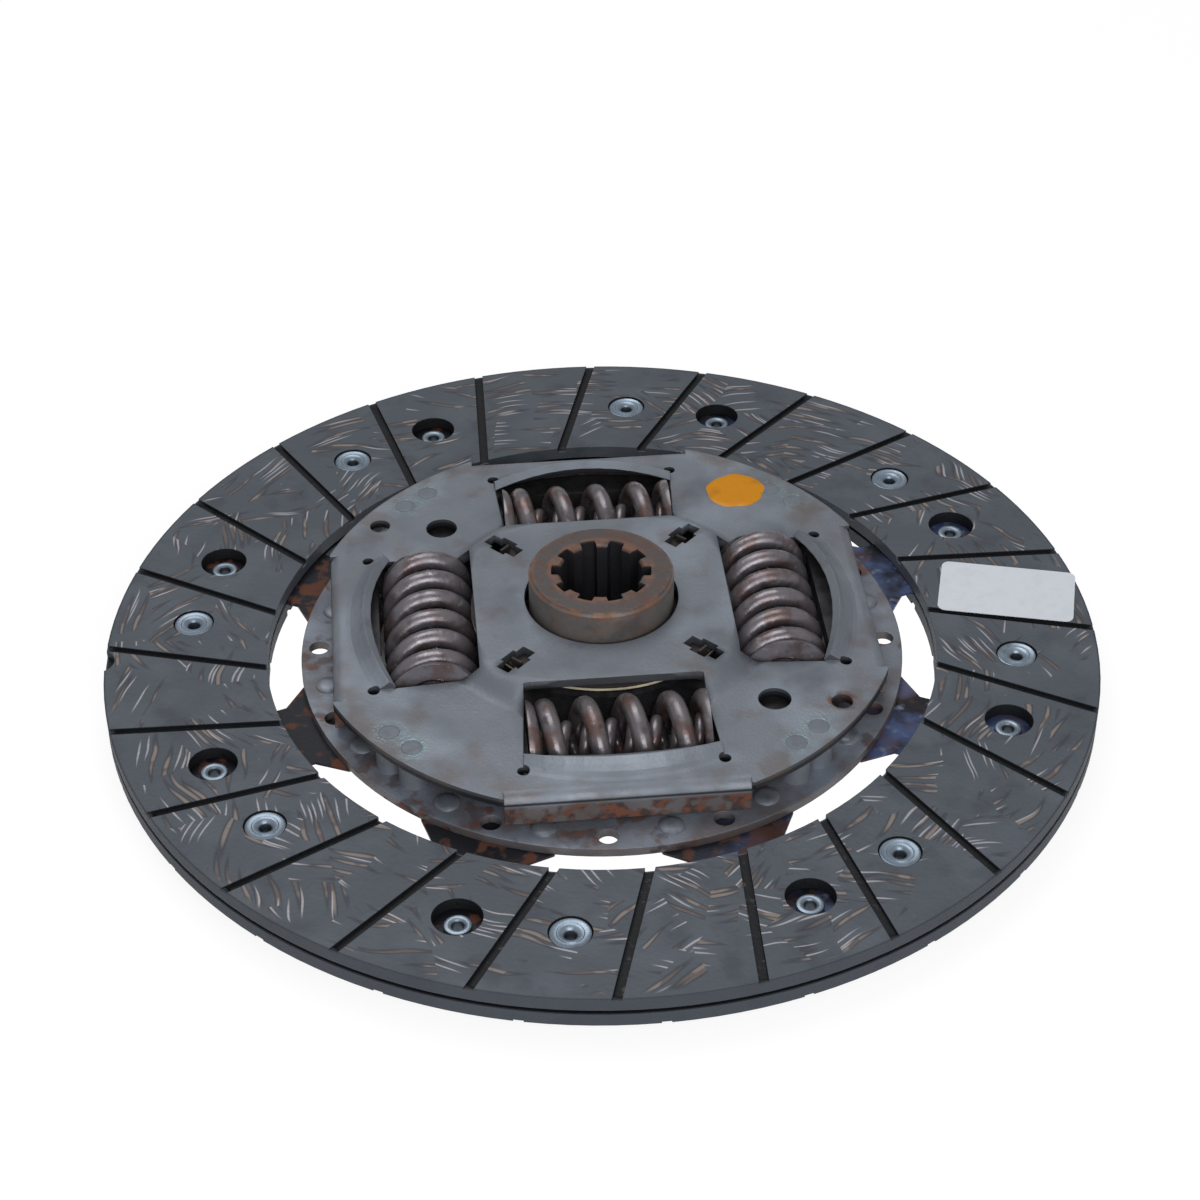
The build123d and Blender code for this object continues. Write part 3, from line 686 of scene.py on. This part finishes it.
@dataclass(frozen=True)
class TemperedStrip:
    """Hardened spring strip: black scale, rust along its edges, and temper blue on the side that ran hot."""

    black: str = "#24252b"
    rust: str = "#6a4536"
    blue: str = "#52628c"
    pale: str = "#8f9cb4"
    hot_side: Fade = (10.0, 60.0)

    def material(self) -> Material:
        """Build the material.

        Returns:
            The material.
        """
        skin = Surface("tempered_strip", self.black)
        hot = skin.zone("X", *self.hot_side)
        skin.lay(self.blue, 0.9, hot, skin.patches(9, 0.38, 0.6, seed=1.0))
        skin.lay(self.pale, 0.6, hot, skin.patches(4, 0.55, 0.7, seed=3.0))
        rust = skin.both(skin.graded(hot, 1.0, 0.35), skin.patches(6, 0.5, 0.58, detail=6.0, seed=6.0))
        skin.lay(self.rust, 0.9, rust)
        rough = skin.graded(rust, 0.42, 0.75)
        scale = skin.patches(0.9, 0.3, 0.8, seed=9.0)
        return skin.done(0.4, rough, scale, 0.02, Specular_IOR_Level=0.3)


@dataclass(frozen=True)
class ZincPlate:
    """Bright zinc plate: bluish grey, pale where it was struck, dull grey where dirt lies."""

    ground: str = "#8b9aa9"
    pale: str = "#aab8c6"
    dirt: str = "#626b76"
    bore: str = "#14181e"
    bore_radius: float = 1.5

    def material(self, circle: float, head_angle: float, tail_angle: float) -> Material:
        """Build the material.

        Args:
            circle: Radius of the rivets' circle.
            head_angle: Angle of one head, in degrees.
            tail_angle: Angle of one tail.

        Returns:
            The material.
        """
        skin = Surface("zinc_plate", self.ground)
        skin.lay(self.pale, 0.4, skin.patches(5, 0.5, 0.66, seed=1.0))
        skin.lay(self.dirt, 0.5, skin.patches(4, 0.52, 0.7, seed=4.0))
        # painted shade: dark round spots over the bores of the heads and tails
        for angle in (head_angle, tail_angle):
            skin.lay(self.bore, 0.9, skin.round_spots(circle, angle, EIGHTH, self.bore_radius))
        rough = skin.graded(skin.patches(4, 0.35, 0.7, seed=7.0), 0.3, 0.42)
        return skin.done(0.6, rough)


@dataclass(frozen=True)
class PlainFinish:
    """Small or inner part in one tone with faint mottling."""

    name: str
    ground: str
    shade: str
    metallic: float
    roughness: float

    def material(self) -> Material:
        """Build the material.

        Returns:
            The material.
        """
        skin = Surface(self.name, self.ground)
        skin.lay(self.shade, 0.7, skin.patches(3, 0.42, 0.7, seed=2.0))
        worn = skin.patches(2, 0.3, 0.7, seed=4.0)
        rough = skin.graded(worn, self.roughness, self.roughness + 0.15)
        return skin.done(self.metallic, rough, skin.patches(0.8, 0.3, 0.8, seed=6.0), 0.02)


@dataclass(frozen=True)
class MarkingEnamel:
    """Thick brushed enamel: glossy orange, deeper where it lies thick, with dark specks of dirt."""

    ground: str = "#cf8706"
    deep: str = "#a86c08"
    dirt: str = "#3c2c18"

    def material(self) -> Material:
        """Build the material.

        Returns:
            The material.
        """
        skin = Surface("marking_enamel", self.ground)
        skin.lay(self.deep, 0.5, skin.patches(5, 0.5, 0.7, seed=2.0))
        skin.lay(self.dirt, 0.8, skin.patches(1.3, 0.68, 0.72, seed=5.0))
        brushed = skin.patches(2.0, 0.3, 0.8, seed=4.0)
        return skin.done(0.0, 0.26, brushed, 0.03, Specular_IOR_Level=0.3)


# ---- sub-assemblies
class Wind(Enum):
    """Hand of a coil."""

    RIGHT = 1
    LEFT = -1


@dataclass
class CoilSpring:
    """One coil spring with ground ends, lying square to its radius, a turn and a half of it closed up.

    Its wire is swept over a little more than its length, so that the cut at each end is whole. The give,
    what each end moves inwards when the hub is at a limit, is not used.
    """

    node: str
    angle: float
    length: float
    mean_radius: float
    wire: float
    open_turns: float
    closed_pitch: float
    start: int
    wind: Wind
    pitch_radius: float = 41.5
    height: float = 14.6
    steps: int = 30
    round_steps: int = 5
    give: float = 2.5
    closed_first: float = 1.0
    closed_last: float = 0.5
    spare: float = 0.5
    soft_corner: float = 40.0

    def travel(self, turn: float) -> float:
        """Follow the wire from the first end face.

        Args:
            turn: Number of turns.

        Returns:
            Its place along the spring's axis.
        """
        opened = min(max(turn - self.closed_first, 0.0), self.open_turns)
        pitch = (self.length - (self.closed_first + self.closed_last) * self.closed_pitch) / self.open_turns
        return self.length / 2 - opened * pitch - (turn - opened) * self.closed_pitch

    def build(self, material: Material) -> Piece:
        """Sweep the wire along its helix, grind the ends flat and put the spring in its window.

        Args:
            material: The wire's finish.

        Returns:
            The spring.
        """
        turns = self.closed_first + self.open_turns + self.closed_last + 2 * self.spare
        count = int(turns * self.steps)
        curve = bpy.data.curves.new(self.node, "CURVE")
        curve.dimensions = "3D"
        curve.bevel_depth = self.wire / 2 * MM
        curve.bevel_resolution = self.round_steps
        curve.use_fill_caps = True
        line = curve.splines.new("POLY")
        line.points.add(count)
        for k, point in enumerate(line.points):
            turn = turns * k / count - self.spare
            around = 2 * math.pi * turn
            place = Vector((-self.start * self.wind.value * self.mean_radius * math.sin(around),
                            self.start * self.travel(turn), self.mean_radius * math.cos(around)))
            point.co = (*(place * MM), 1)
        piece = bpy.data.objects.new(self.node + "_coil", curve)
        bpy.context.scene.collection.objects.link(piece)
        deselect_all()
        piece.select_set(True)
        bpy.context.view_layer.objects.active = piece
        bpy.ops.object.convert(target="MESH")
        bpy.ops.object.mode_set(mode="EDIT")
        for side in (-1, 1):
            bpy.ops.mesh.select_all(action="SELECT")
            bpy.ops.mesh.bisect(plane_co=(0, side * self.length / 2 * MM, 0), plane_no=(0, side, 0),
                                use_fill=True, clear_outer=True)
        close_mesh()
        bpy.ops.object.shade_smooth_by_angle(angle=math.radians(self.soft_corner))
        piece.data.transform(polar(self.pitch_radius, self.angle, self.height))
        seat(piece, "damper_springs", "spring_wire", material, self.node)
        turn = math.radians(self.angle)
        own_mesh(piece)
        return piece


@dataclass
class Dampers:
    """The eight damper springs, an inner one in each outer one."""

    angle: float = 5.0
    lengths: tuple[float, ...] = (45.4, 41.8, 45.4, 41.8)
    open_turns: tuple[float, ...] = (5.0, 3.5, 5.0, 3.5)
    starts: tuple[int, ...] = (-1, 1, 1, -1)
    outer_radius: float = 9.0
    outer_wire: float = 4.6
    inner_radius: float = 4.4
    inner_wire: float = 2.9
    inner_shorter: float = 0.4
    inner_open: float = 7.0
    closed_gap: float = 0.2

    def build(self) -> None:
        """Build all the springs."""
        side = SpringWire("side_spring_wire").material()
        # painted shade: the front and back springs get a darker copy of the same wire
        front = SpringWire("shaded_front_spring_wire", ground="#7d787c", pale="#aeabb1", rust="#705249",
                           dark="#434043").material()
        for k, (length, turns, start) in enumerate(zip(self.lengths, self.open_turns, self.starts)):
            angle, wire = self.angle + QUARTER * k, (side, front)[k % 2]
            CoilSpring(f"damper_spring_outer_{k + 1}", angle, length, self.outer_radius, self.outer_wire,
                       turns, self.outer_wire + self.closed_gap, start, Wind.RIGHT).build(wire)
            CoilSpring(f"damper_spring_inner_{k + 1}", angle, length - self.inner_shorter,
                       self.inner_radius, self.inner_wire, self.inner_open,
                       self.inner_wire + self.closed_gap, start, Wind.LEFT).build(wire)


@dataclass
class Rivets:
    """Every rivet and pin: dished tubular lining rivets, domed segment rivets, shouldered spacer pins."""

    half_gap: float = 0.6
    lining: float = 3.3
    seat_depth: float = 1.4
    circle: float = 100.3
    head_angle: float = 40.87
    flip_angle: float = 33.735
    sheet: float = 0.7
    segment_circle: float = 67.2
    neck_angle: float = 23.4
    segment_offset: float = 10.2
    rim_bottom: float = 8.4
    cover_sheet: float = 2.2
    pin_circle: float = 65.8
    pin_angle: float = 45.5
    pin_offset: float = 3.35
    sides: int = 32

    def lining_rivet(self, name: str) -> Piece:
        """Tubular rivet: funnel head with a rolled rim, hollow shank and tail rolled back on itself.

        Args:
            name: The object's name.

        Returns:
            One rivet, its height measured from the lining's inner face.
        """
        seat_level = self.lining - self.seat_depth
        pad = -self.sheet
        head = [(1.4, 0.1), (1.7, 0.55), (2.2, 0.95), (2.6, 1.13), (2.9, 1.15), (3.2, 0.9), (4.1, 0.92),
                (4.35, 1.08), (4.6, 0.95), (4.6, 0.3), (4.3, 0.0), (2.1, 0.0)]
        tail = [(2.1, 0.0), (2.6, 0.0), (3.1, -0.3), (3.2, -0.8), (3.0, -1.3), (2.5, -1.5), (2.0, -1.4),
                (1.65, -1.15), (1.4, -0.9)]
        profile = ([(radius, seat_level + rise) for radius, rise in head]
                   + [(radius, pad + rise) for radius, rise in tail])
        return turned_piece(name, profile[-1:] + profile, self.sides)

    def segment_rivet(self) -> Piece:
        """Solid rivet with a flat-domed head on the rim and a rolled tail under the segment."""
        low = self.rim_bottom - self.sheet
        return turned_piece("segment_rivets_domed", [
            (1.2, low - 0.9), (2.2, low - 0.75), (2.8, low - 0.4), (3.0, low), (1.8, low),
            (1.8, RIM_TOP), (3.0, RIM_TOP), (2.9, RIM_TOP + 0.35), (2.4, RIM_TOP + 0.7),
            (1.5, RIM_TOP + 0.86), (0.6, RIM_TOP + 0.9)], self.sides)

    def spacer_pin(self) -> Piece:
        """Pin with a thick shank between the plates and its ends upset nearly flush."""
        low, inner = self.rim_bottom, COVER_TOP - self.cover_sheet
        return turned_piece("spacer_pins_domed", [
            (1.4, low - 0.2), (2.2, low - 0.1), (2.4, low + 0.1), (2.4, RIM_TOP), (3.4, RIM_TOP),
            (3.4, inner), (2.4, inner), (2.4, COVER_TOP - 0.02), (2.3, COVER_TOP + 0.02),
            (1.5, COVER_TOP + 0.03), (0.5, COVER_TOP + 0.04)], self.sides)

    def pin_places(self, height: float = 0.0) -> list[Matrix]:
        """Places of the spacer pins, at a height."""
        return [polar(self.pin_circle, self.pin_angle + QUARTER * k + side * self.pin_offset, height)
                for k in range(4) for side in (-1, 1)]

    def build(self) -> None:
        """Build every group of rivets."""
        zinc = ZincPlate().material(self.circle, self.head_angle, 2 * self.flip_angle - self.head_angle)
        places = [polar(self.circle, self.head_angle + EIGHTH * k, 0) for k in range(8)]
        flip = (Matrix.Rotation(math.radians(self.flip_angle), 4, "Z") @ Matrix.Rotation(math.pi, 4, "X")
                @ Matrix.Rotation(math.radians(-self.flip_angle), 4, "Z"))
        upper = Matrix.Translation((0, 0, (MIDDLE + self.half_gap) * MM))
        lower = Matrix.Translation((0, 0, (MIDDLE - self.half_gap) * MM)) @ flip
        for name, side in (("top", upper), ("bottom", lower)):
            group = copies(self.lining_rivet(f"lining_rivets_{name}_turned"), [side @ p for p in places])
            seat(group, "disc", "zinc_plate", zinc, f"lining_rivets_{name}")

        steel = PlainFinish("plated_rivet_steel", "#828892", "#5c6068", 0.5, 0.36).material()
        places = [polar(self.segment_circle, self.neck_angle + EIGHTH * k + side * self.segment_offset, 0)
                  for k in range(8) for side in (-1, 1)]
        seat(copies(self.segment_rivet(), places), "disc", "rivet_steel", steel, "segment_rivets")

        flush = PlainFinish("upset_pin_steel", "#747a83", "#6b7078", 0.35, 0.55).material()
        seat(copies(self.spacer_pin(), self.pin_places()), "disc", "rivet_steel", flush, "spacer_pins")


@dataclass
class Marks:
    """What was put on by hand: a blank label on the upper lining and a dab of marking paint on the cover.

    The dab's outline swells in waves round it, each given as its share of the radius, number and shift.
    """

    label_x: float = 100.6
    label_y: float = 17.0
    label_turn: float = -9.7
    label_long: float = 33.2
    label_wide: float = 19.8
    label_round: float = 2.0
    label_thick: float = 0.15
    label_lift: float = 0.01
    corner_steps: int = 6
    dab_x: float = 34.4
    dab_y: float = 48.7
    dab_radius: float = 7.2
    dab_thick: float = 0.18
    dab_sides: int = 64
    dab_waves: tuple[tuple[float, int, float], ...] = ((0.03, 2, 0.6), (0.025, 5, 0.0), (0.015, 9, 0.0))

    def label(self, face: float) -> None:
        """Build the label.

        Args:
            face: Height of the upper lining's working face.
        """
        deselect_all()
        bpy.ops.mesh.primitive_plane_add(size=1)
        label = bpy.context.object
        label.name = "blank_label"
        label.scale = (self.label_long * MM, self.label_wide * MM, 1)
        bpy.ops.object.transform_apply(scale=True)
        bpy.ops.object.mode_set(mode="EDIT")
        bpy.ops.mesh.select_all(action="SELECT")
        bpy.ops.mesh.bevel(affect="VERTICES", offset=self.label_round * MM, segments=self.corner_steps)
        bpy.ops.mesh.select_all(action="SELECT")
        bpy.ops.mesh.extrude_region_move(TRANSFORM_OT_translate={"value": (0, 0, self.label_thick * MM)})
        close_mesh()
        place = Vector((self.label_x, self.label_y, face + self.label_lift)) * MM
        label.data.transform(Matrix.Translation(place)
                             @ Matrix.Rotation(math.radians(self.label_turn), 4, "Z"))
        paper = PlainFinish("coated_label_paper", "#d5dbe2", "#ced4dc", 0.0, 0.35).material()
        seat(label, "disc", "lining", paper)

    def dab(self) -> None:
        """Build the dab of paint."""
        radius, thick = self.dab_radius, self.dab_thick
        dab = turned_piece("marking_paint", [
            (radius, COVER_TOP - 0.02), (radius, COVER_TOP + 0.05), (radius - 0.6, COVER_TOP + thick),
            (radius - 2.2, COVER_TOP + thick * 0.8), (0.8, COVER_TOP + thick * 0.7)], self.dab_sides)
        for vertex in dab.data.vertices:
            around = math.atan2(vertex.co.y, vertex.co.x)
            swell = sum((share * math.sin(count * around + shift)
                         for share, count, shift in self.dab_waves), start=1)
            vertex.co.x *= swell
            vertex.co.y *= swell
        dab.data.transform(Matrix.Translation((self.dab_x * MM, self.dab_y * MM, 0)))
        seat(dab, "disc", "plate_steel", MarkingEnamel().material())

    def build(self, face: float) -> None:
        """Build both, the label on the lining's face at a height."""
        self.label(face)
        self.dab()


@dataclass
class Disc:
    """The solids that keep their own form and get their finish here.

    The cover is rusty where one of its holes was cut, and glazed round the pins' upset ends.
    """

    lining_inner: float = 81.05
    lining_outer: float = 120.0
    tab_level: float = 18.0
    tab_rust: float = 0.47
    rim_rust_level: float = 11.2
    rim_rust: float = 0.55
    nose: float = 32.9
    rusty_spots: tuple[Spot, ...] = ((55.5, -34.7, COVER_TOP, 4.5), (55.5, -34.7, 19.4, 4.0))
    glaze_radius: float = 5.5

    def build(self, nodes: dict[str, Piece], face: float, pins: list[Matrix]) -> None:
        """Dress every solid.

        Args:
            nodes: The solids by name.
            face: Height of the upper lining's working face.
            pins: Places of the spacer pins' upper ends.
        """
        resin = FrictionResin().material(MIDDLE, face - MIDDLE, self.lining_inner, self.lining_outer)
        glazed = tuple((*(pin.translation / MM), self.glaze_radius) for pin in pins)
        cover = BlastedSteel("blasted_cover_steel").material(
            self.tab_level, self.tab_rust, self.rusty_spots, self.tab_level, glazed)
        rim = BlastedSteel("blasted_rim_steel", ground="#757b86", pale="#99a2b2").material(
            self.rim_rust_level, self.rim_rust)
        strip = TemperedStrip().material()
        coned = PlainFinish("coned_spring_steel", "#4c4c50", "#2e2d30", 0.8, 0.4).material()
        finishes = {
            "friction_lining_top": resin,
            "friction_lining_bottom": resin,
            "cover_plate": cover,
            "retainer_plate": rim,
            "lower_coned_spring": coned,
            "upper_coned_spring": coned,
            "hub": ForgedHub().material(self.nose),
            "hub_flange": PlainFinish("flange_steel", "#4a4a4d", "#2c2b2d", 0.7, 0.45).material(),
            "centring_bush": PlainFinish("bush_plastic", "#2b2a28", "#1d1c1b", 0.0, 0.5).material(),
            "friction_washer": PlainFinish("washer_fibre", "#3a342e", "#28241f", 0.0, 0.7).material(),
            "friction_ring": PlainFinish("cream_plastic", "#cfc6ac", "#a89c80", 0.0, 0.45).material(),
            "tabbed_washer": PlainFinish("phosphated_washer", "#3a3230", "#262324", 0.3, 0.55).material(),
        }
        finishes |= {f"cushion_segment_{k}": strip for k in range(1, 9)}
        for name, material in finishes.items():
            dress(nodes[name], material)
            LOG.info("dressed %s", name)


# ---- studio
@dataclass
class Studio:
    """White floor and surround, soft lamps and the camera.

    The floor glows by itself for the camera. A ring of it, seen through the gaps between the segments, is
    whitest: painted light that hides the disc's shadow where the gaps show the floor. The glow is off below
    the hub and where the cover's small hole would show it, and falls to its outer level over the ring's fade.
    """

    target: tuple[float, float, float] = (-0.341, 24.796, 4.4)
    distance: float = 682.874
    elevation: float = 38.156
    roll: float = -0.455
    lens: float = 81.24
    sensor: float = 36.0
    nearest: float = 10.0
    floor_size: float = 8000.0
    floor_colour: str = "#f4f4f4"
    glow: float = 1.08
    surround: float = 0.28
    ring_inner: float = 62.0
    ring_outer: float = 88.0
    ring_rise: float = 4.0
    ring_fade: float = 16.0
    ring_level: float = 0.97
    outer_level: float = 0.8
    ring_shift: float = 10.5
    shade_x: float = -58.3
    shade_y: float = 62.7
    shade_radius: float = 5.0

    def floor(self) -> None:
        """Floor with a soft shadow under the disc."""
        deselect_all()
        bpy.ops.mesh.primitive_plane_add(size=self.floor_size * MM)
        floor = bpy.context.object
        floor.name = "studio_floor"
        material = bpy.data.materials.new("studio_white")
        material.use_nodes = True
        tree = material.node_tree
        tree.nodes.clear()
        node = partial(add_node, tree)
        matt = node("BsdfDiffuse", values={"Color": hex_colour(self.floor_colour)})
        glow = node("Emission", values={"Color": (1, 1, 1, 1), "Strength": self.glow})
        rays = node("LightPath").outputs
        seen = node("Math", {0: rays["Is Camera Ray"], 1: rays["Is Glossy Ray"]},
                    operation="MAXIMUM").outputs[0]
        where = node("TexCoord").outputs["Object"]
        apart = node("VectorMath", {0: where}, {1: (0, self.ring_shift * MM, 0)},
                     operation="DISTANCE").outputs["Value"]
        # painted light: the glow is strongest in a ring under the disc, hiding its shadow where the gaps show
        # the floor
        ring = node("ValToRGB", {0: apart})
        stops = ring.color_ramp.elements
        stops[0].position, stops[0].color = self.ring_inner * MM, (0, 0, 0, 1)
        stops[1].position = self.ring_outer * MM + self.ring_fade * MM
        stops[1].color = (*[self.outer_level] * 3, 1)
        for place in (self.ring_inner * MM + self.ring_rise * MM, self.ring_outer * MM):
            stops.new(place).color = (*[self.ring_level] * 3, 1)
        gap = node("VectorMath", {0: where},
                   {1: (self.shade_x * MM, self.shade_y * MM, 0)}, operation="DISTANCE").outputs["Value"]
        unshaded = node("MapRange", {"Value": gap},
                        {"From Min": self.shade_radius * MM,
                         "From Max": 1.4 * self.shade_radius * MM}).outputs[0]
        share = seen
        for mask in (ring.outputs[0], unshaded):
            share = node("Math", {0: share, 1: mask}, operation="MULTIPLY").outputs[0]
        mix = node("MixShader", {0: share, 1: matt.outputs[0], 2: glow.outputs[0]})
        node("OutputMaterial", {"Surface": mix.outputs[0]})
        dress(floor, material)

    def world(self) -> None:
        """White surround for the camera, dimmer for what it lights."""
        world = bpy.data.worlds.new("surround")
        bpy.context.scene.world = world
        world.use_nodes = True
        tree = world.node_tree
        tree.nodes.clear()
        node = partial(add_node, tree)
        rays = node("LightPath")
        strength = node("MapRange", {"Value": rays.outputs["Is Camera Ray"]},
                        {"To Min": self.surround, "To Max": 1.0})
        back = node("Background", {"Strength": strength.outputs[0]}, {"Color": hex_colour("#ffffff")})
        node("OutputWorld", {"Surface": back.outputs[0]})

    def lamp(self, name: str, place: tuple[float, float, float], size: float, power: float) -> None:
        """Square soft lamp aimed at the disc.

        Args:
            name: Its name.
            place: Its place.
            size: Its side.
            power: Its power in watts.
        """
        light = bpy.data.lights.new(name, "AREA")
        light.size = size * MM
        light.energy = power
        lamp = bpy.data.objects.new(name, light)
        lamp.location = Vector(place) * MM
        lamp.rotation_euler = (-Vector(place)).to_track_quat("-Z", "Y").to_euler()
        bpy.context.scene.collection.objects.link(lamp)

    def camera(self) -> None:
        """Camera that looks down at the disc from its front."""
        lift, turn = math.radians(self.elevation), math.radians(self.roll)
        forward = Vector((0, math.cos(lift), -math.sin(lift)))
        right = Vector((1, 0, 0))
        up = right.cross(forward)
        across = math.cos(turn) * right + math.sin(turn) * up
        above = -math.sin(turn) * right + math.cos(turn) * up
        place = Vector(self.target) * MM - forward * self.distance * MM
        pose = Matrix((across, above, -forward)).transposed().to_4x4()
        camera = bpy.data.objects.new("camera", bpy.data.cameras.new("camera"))
        camera.data.lens = self.lens
        camera.data.sensor_width = self.sensor
        camera.data.clip_start = self.nearest * MM
        camera.matrix_world = Matrix.Translation(place) @ pose
        bpy.context.scene.collection.objects.link(camera)
        bpy.context.scene.camera = camera

    def build(self) -> None:
        """Build the studio."""
        self.floor()
        self.world()
        self.lamp("overhead", place=(-150, 350, 900), size=700, power=3.8)
        self.lamp("front", place=(120, -850, 460), size=800, power=6.5)
        self.camera()
        bpy.context.scene.view_settings.view_transform = "Standard"


def main() -> None:
    """Dress the solids, add the pieces and set the studio."""
    logging.basicConfig(level=logging.INFO, format="%(message)s")
    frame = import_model()
    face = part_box("friction_lining_top")[1][2] / MM
    rivets = Rivets()
    Disc().build(frame["nodes"], face, rivets.pin_places(COVER_TOP))
    Dampers().build()
    rivets.build()
    Marks().build(face)
    Studio().build()


if __name__ == "__main__":
    main()
